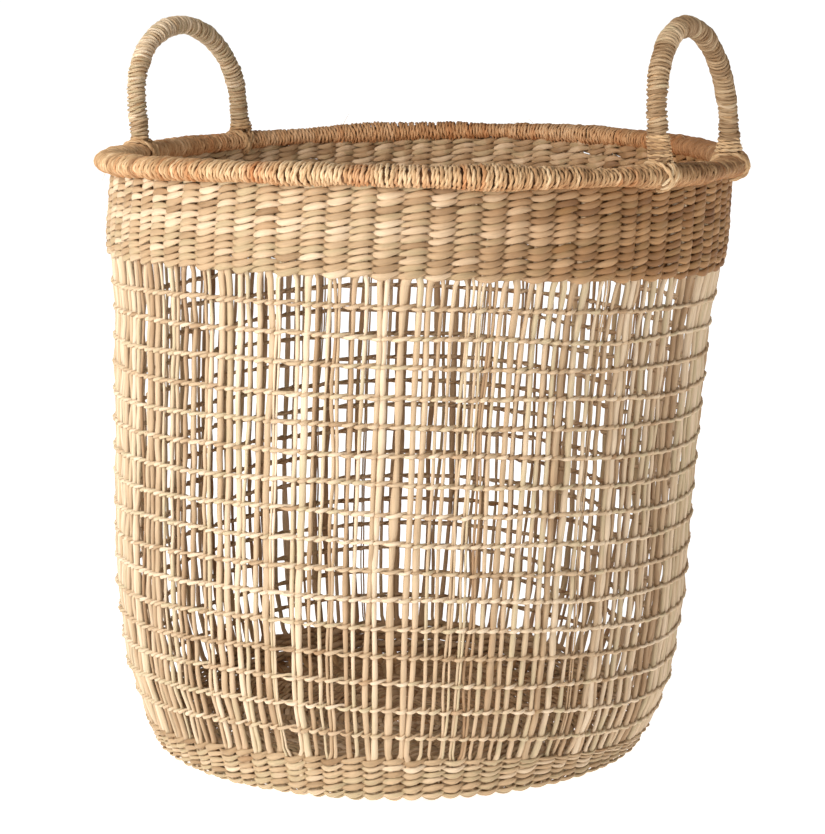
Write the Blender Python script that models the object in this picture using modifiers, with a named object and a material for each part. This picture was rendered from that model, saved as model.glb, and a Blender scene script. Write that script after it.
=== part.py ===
"""Round openwork storage basket of twined seagrass, with a wrapped rim and two wrapped handles.

Units are metres, +Z is up, and the origin is the centre of the base's underside. The two
handles stand on the rim at +X and -X. Every ring has the same RING_SIDES flat sides, with a
corner at +X, so that neighbouring rings stay parallel and keep a constant gap.
"""
import math

import bmesh
import bpy
from mathutils import Matrix, Vector

COLLECTION = "seagrass_storage_basket"

GAP = 0.0003  # between pieces that touch on the real basket
WELD = 0.00002  # vertices this close become one

# Rings.
RING_SIDES = 36
FLAT = math.cos(math.pi / RING_SIDES)  # distance to a flat over distance to a corner

# Wall: height and outer radius of the twining, from the foot to the rim.
WALL = [
    (0.0, 0.1610),
    (0.006, 0.1625),
    (0.0145, 0.1640),
    (0.0313, 0.1700),
    (0.065, 0.1825),
    (0.121, 0.1896),
    (0.205, 0.1920),
    (0.297, 0.1950),
    (0.338, 0.2010),
    (0.3820, 0.2000),
]
STRAND = 0.0016  # thickness of the twining on each side of the stakes
STAKE_THICKNESS = 0.0020
STAKE_WIDTH = 0.0056
UPPER_CHANNEL = 0.0036  # room for the stakes between a band's two sides
LOWER_CHANNEL = 0.0046

# Bands, courses and stakes.
LOWER_BAND_TOP = 0.0313
LOWER_CHANNEL_FLOOR = 0.0155
UPPER_BAND_BOTTOM = 0.3270
UPPER_BAND_TOP = 0.3820
UPPER_CHANNEL_ROOF = 0.3760
COURSE_COUNT = 16
COURSE_FIRST = 0.0482
COURSE_LAST = 0.3096
COURSE_HEIGHT = 0.0034
BUNDLES = 12
STAKES_PER_BUNDLE = 6
STAKE_BOTTOM = 0.0185
STAKE_TOP = 0.3720
STAKE_TIE = 0.0070  # height of the strip that joins a bundle's stakes inside each band

# Base.
BASE_THICKNESS = 0.009
BASE_RADIUS = 0.1419
BASE_HOLE = 0.030
BAND_FOOT_RADIUS = 0.1425
SPOKE_LENGTH = 0.1395
SPOKE_WIDTH = 0.011
SPOKE_THICKNESS = 0.003
SPOKE_HUB = 0.026

# Rim.
RIM_RADIUS = 0.1995
RIM_HEIGHT = 0.385
RIM_TUBE = 0.0105
RIM_FLATTEN = 0.66  # height of the rim's section over its width
RIM_WRAP_INNER = 0.008
HOOP_TUBE = 0.0030
HOOP_RISE = 0.0014
OUTER_ANGLES = [-82, -40, 0, 30, 60, 90, 120, 150, 180, 212]
INNER_ANGLES = [212, 150, 90, 30, -30, -82]

# Handles.
FOOT_ANGLE = math.radians(15)
FOOT_RADIUS = RIM_RADIUS * FLAT
CORE_TUBE = 0.0033
CORE_BOTTOM = 0.3894
HANDLE_TUBE = 0.0063
HANDLE_WALL = 0.0020
HANDLE_BOTTOM = 0.3927
HANDLE_SPRING = 0.4160
HANDLE_TOP = 0.4785
ARCH_STEPS = 20
LASHING_TUBE = 0.0131
LASHING_LENGTH = 0.016
COLLAR_TUBE = 0.0098
COLLAR_TOP = 0.4045
ROUND_SIDES = 12
RIM_CUT_SIDES = 16

STRAW = (0.62, 0.47, 0.28, 1.0)
PALE = (0.70, 0.56, 0.36, 1.0)
TAN = (0.52, 0.34, 0.18, 1.0)
CORE = (0.45, 0.33, 0.20, 1.0)


def clear_scene():
    for obj in list(bpy.data.objects):
        bpy.data.objects.remove(obj, do_unlink=True)


def new_collection(name):
    collection = bpy.data.collections.new(name)
    bpy.context.scene.collection.children.link(collection)
    return collection


def add_material(obj, colour, roughness=0.75):
    material = bpy.data.materials.new(obj.name)
    material.use_nodes = True
    shader = material.node_tree.nodes["Principled BSDF"]
    shader.inputs["Base Color"].default_value = colour
    shader.inputs["Roughness"].default_value = roughness
    shader.inputs["Metallic"].default_value = 0.0
    material.diffuse_color = colour
    obj.data.materials.append(material)


def add_part(name, mesh, colour):
    obj = bpy.data.objects.new(name, mesh)
    parts.objects.link(obj)
    obj.parent = basket
    add_material(obj, colour)
    return obj


def add_cutter(name, mesh):
    obj = bpy.data.objects.new(name, mesh)
    cutters.objects.link(obj)
    obj.hide_render = True
    obj.display_type = "WIRE"
    return obj


def finish_mesh(bm, name):
    bmesh.ops.recalc_face_normals(bm, faces=bm.faces)
    mesh = bpy.data.meshes.new(name)
    bm.to_mesh(mesh)
    bm.free()
    return mesh


def boolean(obj, cutter, operation="DIFFERENCE"):
    modifier = obj.modifiers.new(cutter.name, "BOOLEAN")
    modifier.operation = operation
    modifier.object = cutter
    modifier.solver = "EXACT"


def wall_radius(height):
    """Outer radius of the twining at this height."""
    for (z0, r0), (z1, r1) in zip(WALL, WALL[1:]):
        if height <= z1:
            return r0 + (r1 - r0) * (height - z0) / (z1 - z0)
    return WALL[-1][1]


def wall_line(low, high, inset):
    """Points on the wall from high to low, this far inside its outer face."""
    heights = [z for z, _ in WALL if low + GAP < z < high - GAP]
    return [(wall_radius(z) - inset, z) for z in [high] + heights[::-1] + [low]]


def ring_from_profile(name, profile, colour):
    """A ring turned from a closed profile that runs down its outer side."""
    mesh = bpy.data.meshes.new(name)
    points = [(radius, 0.0, height) for radius, height in profile]
    edges = [(i, (i + 1) % len(points)) for i in range(len(points))]
    mesh.from_pydata(points, edges, [])
    obj = add_part(name, mesh, colour)
    screw = obj.modifiers.new("Screw", "SCREW")
    screw.steps = RING_SIDES
    screw.render_steps = RING_SIDES
    screw.use_merge_vertices = True
    screw.merge_threshold = WELD
    screw.use_smooth_shade = False
    return obj


def make_lower_band():
    """The dense twining of the foot: two sides that hold the stakes, open at the top."""
    inner = 2 * STRAND + LOWER_CHANNEL
    profile = wall_line(0.0, LOWER_BAND_TOP, 0.0)
    profile += [(BAND_FOOT_RADIUS, 0.0), (BAND_FOOT_RADIUS, BASE_THICKNESS)]
    profile += wall_line(BASE_THICKNESS, LOWER_BAND_TOP, inner)[::-1]
    profile += wall_line(LOWER_CHANNEL_FLOOR, LOWER_BAND_TOP, STRAND + LOWER_CHANNEL)
    profile += wall_line(LOWER_CHANNEL_FLOOR, LOWER_BAND_TOP, STRAND)[::-1]
    ring_from_profile("lower_band_weave", profile, PALE)


def make_upper_band():
    """The dense twining below the rim: two sides that hold the stakes, open at the bottom."""
    inner = 2 * STRAND + UPPER_CHANNEL
    profile = wall_line(UPPER_BAND_BOTTOM, UPPER_BAND_TOP, 0.0)
    profile += wall_line(UPPER_BAND_BOTTOM, UPPER_CHANNEL_ROOF, STRAND)[::-1]
    profile += wall_line(UPPER_BAND_BOTTOM, UPPER_CHANNEL_ROOF, STRAND + UPPER_CHANNEL)
    profile += wall_line(UPPER_BAND_BOTTOM, UPPER_BAND_TOP, inner)[::-1]
    ring_from_profile("upper_band_weave", profile, STRAW)


def make_courses():
    """The openwork's courses of twining, evenly spaced, on the stakes' outer side."""
    step = (COURSE_LAST - COURSE_FIRST) / (COURSE_COUNT - 1)
    for index in range(COURSE_COUNT):
        low = COURSE_FIRST + index * step - COURSE_HEIGHT / 2
        high = low + COURSE_HEIGHT
        outer = [(wall_radius(high), high), (wall_radius(low), low)]
        inner = [(radius - STRAND, height) for radius, height in outer[::-1]]
        ring_from_profile(f"course_{index + 1:02d}", outer + inner, PALE)


def stake_heights():
    """Heights of a stake's corners, bottom to top, the strips that join a bundle included."""
    middle = [z for z, _ in WALL if STAKE_BOTTOM + 2 * STAKE_TIE < z < STAKE_TOP - STAKE_TIE]
    low, high = STAKE_BOTTOM + STAKE_TIE, STAKE_TOP - STAKE_TIE
    return [STAKE_BOTTOM, low] + middle + [high, STAKE_TOP]


def make_stake_bundle(index):
    """Six stakes side by side, joined by a strip at each end, out of sight in the bands."""
    heights = stake_heights()
    columns, rows = 2 * STAKES_PER_BUNDLE - 1, len(heights) - 1
    pitch = 2 * math.pi / (BUNDLES * STAKES_PER_BUNDLE)
    bm = bmesh.new()
    bmesh.ops.create_grid(bm, x_segments=columns, y_segments=rows, size=1.0)
    for face in list(bm.faces):
        middle = face.calc_center_median()
        column = int((middle.x + 1) / 2 * columns)
        row = int((middle.y + 1) / 2 * rows)
        if column % 2 == 1 and 0 < row < rows - 1:
            bm.faces.remove(face)
    loose = [edge for edge in bm.edges if not edge.link_faces]
    bmesh.ops.delete(bm, geom=loose, context="EDGES")
    for vert in bm.verts:
        column = round((vert.co.x + 1) / 2 * columns)
        height = heights[round((vert.co.y + 1) / 2 * rows)]
        radius = (wall_radius(height) - STRAND) * FLAT - GAP
        stake = index * STAKES_PER_BUNDLE + column // 2 + 0.5
        side = (column % 2 - 0.5) * STAKE_WIDTH
        turn = Matrix.Rotation(stake * pitch, 3, "Z")
        vert.co = turn @ Vector((radius, side, height))
    mesh = bpy.data.meshes.new("stakes")
    bm.to_mesh(mesh)
    bm.free()
    obj = add_part(f"stake_bundle_{index + 1:02d}", mesh, PALE)
    solid = obj.modifiers.new("Solidify", "SOLIDIFY")
    solid.thickness = STAKE_THICKNESS
    solid.offset = -1.0


def cylinder(name, radius, low, high, sides=ROUND_SIDES, turn=0.0):
    """A closed cylinder on the Z axis."""
    bm = bmesh.new()
    place = Matrix.Translation((0, 0, (low + high) / 2)) @ Matrix.Rotation(turn, 4, "Z")
    bmesh.ops.create_cone(
        bm,
        cap_ends=True,
        segments=sides,
        radius1=radius,
        radius2=radius,
        depth=high - low,
        matrix=place,
    )
    return finish_mesh(bm, name)


def spoke_star(name, extra):
    """A hub with one arm for each bundle, grown by extra on every side."""
    half = SPOKE_WIDTH / 2 + extra
    hub = SPOKE_HUB + extra
    tip = SPOKE_LENGTH + extra
    notch = half / math.sin(math.pi / BUNDLES)
    bm = bmesh.new()
    outline = []
    for arm in range(BUNDLES):
        turn = Matrix.Rotation((arm + 0.5) * 2 * math.pi / BUNDLES, 3, "Z")
        root = max(math.sqrt(hub**2 - half**2), notch * math.cos(math.pi / BUNDLES))
        for x, y in ((root, -half), (tip, -half), (tip, half), (root, half)):
            outline.append(turn @ Vector((x, y, 0.0)))
    low = (BASE_THICKNESS - SPOKE_THICKNESS) / 2 - extra
    face = bm.faces.new([bm.verts.new(p + Vector((0, 0, low))) for p in outline])
    grown = bmesh.ops.extrude_face_region(bm, geom=[face])
    top = [item for item in grown["geom"] if isinstance(item, bmesh.types.BMVert)]
    bmesh.ops.translate(bm, verts=top, vec=(0, 0, SPOKE_THICKNESS + 2 * extra))
    return finish_mesh(bm, name)


def make_base():
    """The woven base: a star of spokes inside a thick disc that is open at its centre."""
    add_part("base_spokes", spoke_star("spokes", 0.0), CORE)
    disc = add_part(
        "base_weave", cylinder("disc", BASE_RADIUS, 0.0, BASE_THICKNESS, RING_SIDES), TAN
    )
    hole = cylinder("hole", BASE_HOLE, -BASE_THICKNESS, 2 * BASE_THICKNESS, RING_SIDES)
    boolean(disc, add_cutter("cut_base_hole", hole))
    boolean(disc, add_cutter("cut_spoke_slots", spoke_star("slots", GAP)))


def arc_points(radius, angles, flatten=1.0, rise=0.0):
    """Points around the rim tube's centre, at angles from straight outward."""
    points = []
    for angle in angles:
        turn = math.radians(angle)
        out, up = radius * math.cos(turn), radius * flatten * math.sin(turn) + rise
        points.append((RIM_RADIUS + out, RIM_HEIGHT + up))
    return points


def foot_matrix(angle):
    """Frame of a handle's foot: X outward, Y along the rim, Z up, at the rim tube's centre."""
    turn = Matrix.Rotation(angle, 4, "Z")
    return turn @ Matrix.Translation((FOOT_RADIUS, 0, RIM_HEIGHT))


def foot_angles():
    """Each foot's name and direction from the basket's centre."""
    return [
        ("right_front", -FOOT_ANGLE),
        ("right_back", FOOT_ANGLE),
        ("left_back", math.pi - FOOT_ANGLE),
        ("left_front", math.pi + FOOT_ANGLE),
    ]


def make_rim():
    """A hoop on the wall's top edge, and the cord wrapped round both, open over the wall."""
    hoop = arc_points(HOOP_TUBE, range(360, 0, -60), rise=HOOP_RISE)
    ring_from_profile("rim_hoop", hoop, CORE)
    outside = arc_points(RIM_TUBE, OUTER_ANGLES, RIM_FLATTEN)[::-1]
    inside = arc_points(RIM_WRAP_INNER, INNER_ANGLES, RIM_FLATTEN)[::-1]
    wrap = ring_from_profile("rim_wrap", outside + inside, TAN)
    for name, angle in foot_angles():
        bore = cylinder("bore", CORE_TUBE + 2 * GAP, HOOP_TUBE, 2 * RIM_TUBE)
        cutter = add_cutter(f"cut_rim_{name}", bore)
        cutter.matrix_world = foot_matrix(angle)
        boolean(wrap, cutter)


def handle_path(side, bottom):
    """A handle's centre line: up one leg, over an elliptical arch and down the other leg."""
    reach = FOOT_RADIUS * math.cos(FOOT_ANGLE) * side
    half = FOOT_RADIUS * math.sin(FOOT_ANGLE)
    rise = HANDLE_TOP - HANDLE_TUBE - HANDLE_SPRING
    points = [Vector((reach, -half, bottom))]
    for step in range(ARCH_STEPS + 1):
        turn = math.pi * step / ARCH_STEPS
        y, z = -half * math.cos(turn), HANDLE_SPRING + rise * math.sin(turn)
        points.append(Vector((reach, y, z)))
    points.append(Vector((reach, half, bottom)))
    return points


def tube_mesh(name, points, radius, capped):
    """A tube along the points, from a bevelled curve, with its caps welded on."""
    curve = bpy.data.curves.new(name, "CURVE")
    curve.dimensions = "3D"
    spline = curve.splines.new("POLY")
    spline.points.add(len(points) - 1)
    for point, target in zip(spline.points, points):
        point.co = (*target, 1.0)
    curve.bevel_depth = radius
    curve.bevel_resolution = 2
    curve.use_fill_caps = capped
    guide = bpy.data.objects.new(name, curve)
    bpy.context.scene.collection.objects.link(guide)
    graph = bpy.context.evaluated_depsgraph_get()
    mesh = bpy.data.meshes.new_from_object(guide.evaluated_get(graph))
    bpy.data.objects.remove(guide, do_unlink=True)
    bm = bmesh.new()
    bm.from_mesh(mesh)
    bmesh.ops.remove_doubles(bm, verts=bm.verts, dist=WELD)
    bm.to_mesh(mesh)
    bm.free()
    return mesh


def make_handle(label, side):
    """A cane core that stands on the rim's hoop, and the cord wrapped along it."""
    core = tube_mesh("core", handle_path(side, CORE_BOTTOM), CORE_TUBE, True)
    add_part(f"handle_core_{label}", core, CORE)
    skin = tube_mesh("wrap", handle_path(side, HANDLE_BOTTOM), HANDLE_TUBE, False)
    wrap = add_part(f"handle_wrap_{label}", skin, STRAW)
    solid = wrap.modifiers.new("Solidify", "SOLIDIFY")
    solid.thickness = HANDLE_WALL
    solid.offset = -1.0


def make_lashing(name, angle):
    """Cord tied over the rim and round a handle's foot: a saddle with a collar."""
    place = foot_matrix(angle)
    lying = place @ Matrix.Rotation(math.pi / 2, 4, "X")
    flatten = Matrix.Diagonal((1, RIM_FLATTEN, 1, 1))
    half = LASHING_LENGTH / 2
    saddle = cylinder("saddle", LASHING_TUBE, -half, half, ROUND_SIDES, math.pi / 12)
    saddle.transform(flatten)
    lashing = add_part(f"handle_lashing_{name}", saddle, STRAW)
    lashing.matrix_world = lying
    collar = cylinder("collar", COLLAR_TUBE, 0.0, COLLAR_TOP - RIM_HEIGHT)
    leg = cylinder("leg", HANDLE_TUBE + 2 * GAP, 0.0, 2 * COLLAR_TOP - 2 * RIM_HEIGHT)
    clear, reach = RIM_TUBE + 3 * GAP, LASHING_LENGTH
    rim = cylinder("rim", clear, -reach, reach, RIM_CUT_SIDES, math.pi / RIM_CUT_SIDES)
    rim.transform(flatten)
    cut_height = -RIM_TUBE * RIM_FLATTEN / 2
    below = cylinder("below", 2 * RIM_TUBE, -2 * RIM_TUBE, cut_height, 4)
    steps = [
        ("collar", collar, place, "UNION"),
        ("rim", rim, lying, "DIFFERENCE"),
        ("leg", leg, place, "DIFFERENCE"),
        ("below", below, place, "DIFFERENCE"),
    ]
    for step, mesh, matrix, operation in steps:
        cutter = add_cutter(f"lashing_{step}_{name}", mesh)
        cutter.matrix_world = matrix
        boolean(lashing, cutter, operation)


clear_scene()
parts = new_collection(COLLECTION)
cutters = new_collection("cutters")
basket = bpy.data.objects.new("basket", None)
parts.objects.link(basket)

make_base()
make_lower_band()
for bundle in range(BUNDLES):
    make_stake_bundle(bundle)
make_courses()
make_upper_band()
make_rim()
for handle_label, handle_side in (("right", 1), ("left", -1)):
    make_handle(handle_label, handle_side)
for foot_name, foot_angle in foot_angles():
    make_lashing(foot_name, foot_angle)
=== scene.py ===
"""Looks of the seagrass storage basket: every stake, strand and cord is its own tube.

Units are metres, +Z is up. Strands are laid out on the CAD basket's wall, and settle() then gives
them all the lean and sag of a basket made by hand.
"""
import math

import bpy
import numpy as np
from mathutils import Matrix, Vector


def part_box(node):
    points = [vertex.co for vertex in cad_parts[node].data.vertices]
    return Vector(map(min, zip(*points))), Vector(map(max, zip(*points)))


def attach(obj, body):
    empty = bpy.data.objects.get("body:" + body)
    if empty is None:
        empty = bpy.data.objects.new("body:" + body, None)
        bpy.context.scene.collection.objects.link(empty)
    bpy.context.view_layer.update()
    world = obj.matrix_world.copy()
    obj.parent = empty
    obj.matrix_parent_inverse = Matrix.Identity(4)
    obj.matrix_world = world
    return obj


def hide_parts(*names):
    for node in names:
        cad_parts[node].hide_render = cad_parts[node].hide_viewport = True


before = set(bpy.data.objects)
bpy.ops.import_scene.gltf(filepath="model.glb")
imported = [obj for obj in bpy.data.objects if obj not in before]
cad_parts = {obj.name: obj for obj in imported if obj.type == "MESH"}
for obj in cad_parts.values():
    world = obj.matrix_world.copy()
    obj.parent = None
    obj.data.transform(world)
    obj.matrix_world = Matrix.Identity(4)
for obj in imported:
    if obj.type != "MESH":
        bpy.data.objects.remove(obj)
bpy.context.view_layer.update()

SEED = 13
TAU = 2 * math.pi

# Camera and the direction it looks from.
VIEW_TURN = math.radians(33.0)  # from +X to the camera's right
CAMERA_DISTANCE = 1.600
CAMERA_HEIGHT = 0.489
CAMERA_PITCH = math.radians(9.826)
CAMERA_SHIFT = 0.0019
CAMERA_LENS = 107.64
SENSOR = 36.0

# Wall of the basket: height and outer radius of the twining.
WALL = [
    (0.0, 0.1610),
    (0.006, 0.1625),
    (0.0145, 0.1640),
    (0.0313, 0.1700),
    (0.065, 0.1825),
    (0.121, 0.1896),
    (0.205, 0.1920),
    (0.297, 0.1950),
    (0.338, 0.2010),
    (0.3820, 0.2000),
]
WALL_SOFTEN = 0.012  # the wall's corners are rounded over this height
RIM_HEIGHT = 0.385
RIM_RADIUS = 0.1995
RIM_TUBE = 0.0105
RIM_FLATTEN = 0.66  # height of the rim's section over its width

# How the real basket has settled.
LEAN = (0.0083, -0.0297, 0.0137)  # offset to the right at the rim, and its change down to the foot
SAG_LOW = 0.0171
SAG_HIGH = 0.0064
TILT = 0.0036
DIP = 0.0023
TWIST = 0.0034
RIM_LIFT = 0.00205
RIM_DIP = 0.0008
RIM_FOLD = 0.00075
RIM_TWIST = 0.00195
RIM_SHIFT = (0.374, 0.386, -0.0010)  # heights between which the rim moves off the wall, and how far
BAND_RAMP = 0.0313  # the foot stands flat, and the sag grows up to this height
TILT_RAMP = (0.018, 0.048)
TILT_END = (0.80, 1.0)  # the tilt fades out below the rim, as a share of the rim's height

# Stakes and courses.
COURSES = 16
STAKES = 168
BUNDLES = 12
STAKE_LOW = 0.0125
STAKE_HIGH = 0.3760
STAKE_STEPS = 84
STAKE_DEPTH = 0.0017
STAKE_WIDTHS = (0.0011, 0.00165, 0.0023)  # thin, usual and wide half-widths
STAKE_JITTER = 0.17
STAKE_DRIFT = 0.08
STAKE_SPREAD = 0.26  # spread of the logarithm of a stake's width
BROAD_STAKES = (0.06, 1.35)  # share of broad stakes, and how much wider they are
BROWN_STAKES = (0.06, 0.30)  # share of brown stakes, and how brown they are
STAKE_PINCH = (0.14, 0.003)  # how much a course narrows a stake, and over what height
BAND_WIDEN = 0.25  # how much wider the stakes are inside the dense bands
SPLIT_SHARE = 0.09
WALL_INSET = 0.0036  # from the wall's outer face to the line of the stakes

# Twining: half-width, half-depth, how far it bulges over a post, how far it climbs over it, and
# how far the stitches on every other post stand higher and lower.
COURSE_STRAND = (0.00128, 0.00095, 0.0023, 0.00070, 0.0)
BAND_STRAND = (0.00225, 0.00115, 0.0027, 0.00110, 0.00080)
FOOT_STRAND = (0.00215, 0.00120, 0.0023, 0.00100, 0.00070)
# How brown: everywhere, the strands' own colour; on the right and on the far side, painted shade;
# and a strand's width at a crossing.
COURSE_TINT_AND_SHADE = (0.0, 0.12, 0.55, 0.72)
BAND_TINT_AND_SHADE = (0.20, 0.80, 0.28, 0.58)
FOOT_TINT_AND_SHADE = (0.0, 0.16, 0.50, 0.62)
BASE_TINT_AND_SHADE = (0.34, 0.20, 0.30, 0.85)
# Painted shade: how much browner the stakes are on the right side and on the far side.
STAKE_SIDE_SHADE = (0.14, 0.52)
FLAT_TOP = 0.8  # below 1, a strand stays in front of a post for longer
DENSE_LOOSE = 0.4  # how much the dense bands' strands stray, where the courses' have 1
BAND_STEPS = 8  # points of a strand from one post to the next
FOOT_STEPS = 7
ROW_WAVES = (0.0005, 0.00022)  # how far a row and its strands stray up and down
BLADE_CHANGE = 0.06  # share of the stitches where a new blade of grass begins
BLADE_TONES = (0.24, 1.0)
STITCH_SPREAD = 0.12  # how much the tone changes from stitch to stitch
BROWN_STITCHES = (0.02, 0.2, 0.6)  # share of brown stitches, and how brown they are
BAND_EDGES = (0.3215, 0.3330, 0.0260, 0.0350)  # the stakes close up in pairs inside the bands
BAND_ROWS = 13
BAND_LOW = 0.3290
BAND_HIGH = 0.3785
FOOT_ROWS = 9
BASE_PITCH = 0.0043
BASE_LEVEL = 0.0042
BASE_START = 0.010
BASE_END = 0.1370  # radius where the base's rows end and the foot's begin
BASE_POSTS = ((0.105, 84), (0.048, 42), (0.0, 14))  # posts of a row outside a radius
FOOT_BEND = [(0.1540, BASE_LEVEL), (0.1590, 0.0052), (0.1607, 0.0090)]  # radii and heights
FOOT_GAP = 0.0020  # from the last row's middle to the end of the foot's line
KNEE = (0.0145, 0.0190, 0.0245, 0.0313)  # heights at which the foot follows the wall
SPOKES = 42
SPOKE_STARTS = ((0.004, 0.5), (0.045, 1.0))  # radius where a set begins, and its turn in pitches
SPOKE_END = 0.1560
SPOKE_RISE = (0.0115, 0.140, 0.162)  # how far the spokes rise at the edge, between two radii

# Rim and handles.
RIM_TURNS = 500
RIM_STEPS = 34  # points of a turn
RIM_PIECES = 3
RIM_JITTER = 0.16  # in turns
RIM_SLANT = (0.0040, 0.7)  # how far a turn leans along the rim, and how much that varies
RIM_TONE = (0.59, 0.17)
RIM_LUMPS = (-0.0013, 0.0012)
RIM_FILLING = (0.0079, 0.0044)  # half-width and half-height of what the cord is wound on
PLY = 0.00083  # radius of one ply of the cord
PLY_OFFSET = 0.00058
CORD_TWIST = 0.0125  # length over which the plies turn once
CORD = PLY + PLY_OFFSET
FINE = 0.85  # the lashings' cord, as a share of the rim's
HANDLE_PLY = (0.00088, 0.00048)  # the handles' cord: radius of a ply and its offset
HANDLE_TWIST = 0.024  # length over which its plies turn once
HANDLE_TURNS_PER_METRE = 385
HANDLE_STEPS = 24
HANDLE_JITTER = 0.07
HANDLE_THICKEN = 0.0005  # over the radius of the CAD handle
HANDLE_TURN = {"right": math.radians(3.2), "left": math.radians(-1.7)}
HANDLE_SPREAD = 1.046  # distance between a handle's feet over that of the CAD handle
HANDLE_EXTRA = {"right": -0.0001, "left": -0.0039}
HANDLE_SLANT = (0.0011, 0.4)  # how far a turn leans, and how much that varies
# The right handle's low tone is painted shade, as the basket's right side is away from the key
# light.
HANDLE_TONE_AND_SHADE = {"right": 0.16, "left": 0.72}
HANDLE_LEAN = {"right": 0.0075, "left": 0.0088}  # to the left, at the top of the arch
HANDLE_SPRING = 0.4160  # height where the legs end and the arch begins
CORE_REACH = 0.004  # how far a handle's core goes on below its wrap
FOOT_ANGLE = math.radians(15.7)
LEG_INSET = 0.0007  # from the rim's middle to a leg's
LASH_STEPS = 40
LASH_LOOPS = 5  # turns round the rim that cross at a foot
LASH_REACH = (0.0058, 0.0042)
LASH_SPREAD = 0.0014
COLLAR_PITCH = 0.0022
DROP_TOP, DROP_SWEEP = 110, (172, 26)  # degrees round the rim, and how much less for the inner
DROP_SIDE, DROP_BOW, DROP_BACK = (0.0030, 0.0026), (0.0060, 0.0012), 0.0085  # along the rim
LASHINGS = {  # turns on the leg, how far the lowest one flares out and stands aside, loose loops
    "right_front": (7, 0.0006, 0.0024, 2),
    "right_back": (4, 0.0016, 0.0, 0),
    "left_back": (3, 0.0010, 0.0, 0),
    "left_front": (1, 0.0, 0.0, 0),
}

# Stage. Lights are placed to the right, away from the camera and up.
LIGHTS = [
    ("key", (-1.15, -1.10, 0.95), 0.8, 29, (1.0, 0.985, 0.97)),
    ("fill", (1.10, -1.20, 0.70), 1.0, 4, (1.0, 0.98, 0.95)),
]
BACKDROP = (0.80, 0.93, 0.22, 1.05)  # how far a direction points away, and the light's strength
FLOOR_SIZE = 20.0
FLOOR_GLOW = (0.20, 1.20, 0.86, 0.95)  # distance, and the floor's own light there

rng = np.random.default_rng(SEED)


def smooth(value, low, high):
    """0 at low, 1 at high, with a soft start and end."""
    t = np.clip((value - low) / (high - low), 0, 1)
    return t * t * (3 - 2 * t)


def settle(points):
    """Moves points of the even basket to where the leaning, sagging basket has them."""
    x, y, z = points[..., 0], points[..., 1], points[..., 2]
    turn = np.arctan2(y, x) - VIEW_TURN
    level = np.clip(z / RIM_HEIGHT, 0, 1)
    side = np.cos(turn) ** 2
    sag = -(SAG_LOW + (SAG_HIGH - SAG_LOW) * level) * side
    tilt = -TILT * np.cos(turn) * (1 - smooth(level, *TILT_END))
    tilt = tilt + DIP * level * np.sin(turn) + TWIST * (1 - level) * np.sin(2 * turn)
    drop = sag * np.clip(z / BAND_RAMP, 0, 1) + tilt * smooth(z, *TILT_RAMP)
    warp = RIM_LIFT - RIM_DIP * np.sin(turn)
    warp = warp + RIM_FOLD * np.cos(2 * turn) + RIM_TWIST * np.sin(2 * turn)
    drop = drop + warp * level**4
    down = 1 - level
    lean = LEAN[0] + LEAN[1] * down + LEAN[2] * down * down
    lean = lean + RIM_SHIFT[2] * smooth(z, *RIM_SHIFT[:2])
    moved = [x + lean * math.cos(VIEW_TURN), y + lean * math.sin(VIEW_TURN), z + drop]
    return np.stack(moved, -1)


def wander(x, waves, shape=()):
    """Smooth random curves over x, an angle, of about unit size."""
    k = np.arange(1, waves + 1)
    size = rng.normal(size=(*shape, waves)) / math.sqrt(waves)
    phase = rng.uniform(0, TAU, size=(*shape, waves))
    return (size[..., None] * np.cos(k[:, None] * x + phase[..., None])).sum(-2) * 1.4


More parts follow.
